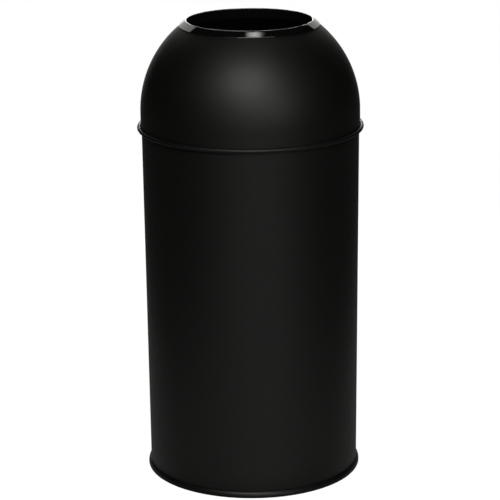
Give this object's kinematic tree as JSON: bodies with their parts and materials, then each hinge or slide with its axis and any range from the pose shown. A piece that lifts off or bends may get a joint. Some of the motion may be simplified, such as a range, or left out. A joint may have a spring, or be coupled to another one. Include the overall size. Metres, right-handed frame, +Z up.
{
  "type": "waste receptacle",
  "caption": "Round sheet-steel waste receptacle: a lift-off dome with an open mouth over a cylindrical body that holds a galvanised liner with a wire bail.",
  "frame": {"origin": "centre of the base on the floor", "axes": "+Z up along the axis; the front faces -Y and the body's lap is at +Y"},
  "size_m": [0.3811, 0.3812, 0.7808],
  "materials": {
    "powder_coat": "matt black powder coat on sheet steel",
    "vinyl": "satin black vinyl",
    "gloss_trim": "gloss black",
    "galvanised": "galvanised steel with a fine spangle",
    "bright_wire": "zinc-plated steel"
  },
  "bodies": {
    "body": {"body_shell": "powder_coat", "bottom_pan": "powder_coat", "base_ring": "vinyl"},
    "liner": {"liner_wall": "galvanised", "liner_bottom": "galvanised", "rim_wire": "bright_wire", "bail_ear_left": "galvanised", "bail_ear_right": "galvanised", "ear_rivets": "bright_wire"},
    "bail": {"bail_wire": "bright_wire"},
    "dome": {"dome_shell": "powder_coat", "locating_collar": "powder_coat", "mouth_ring": "gloss_trim"}
  },
  "joints": [
    {"name": "liner_lift", "type": "slide", "parent": "body", "child": "liner", "axis": [0, 0, 1], "range_m": [0, 0.62]},
    {"name": "dome_lift", "type": "slide", "parent": "liner", "child": "dome", "axis": [0, 0, 1], "range_m": [0, 0.3]},
    {"name": "bail_swing", "type": "hinge", "parent": "liner", "child": "bail", "pos_m": [0, 0, 0.5417], "axis": [1, 0, 0], "range_deg": [0, 213.89]}
  ]
}
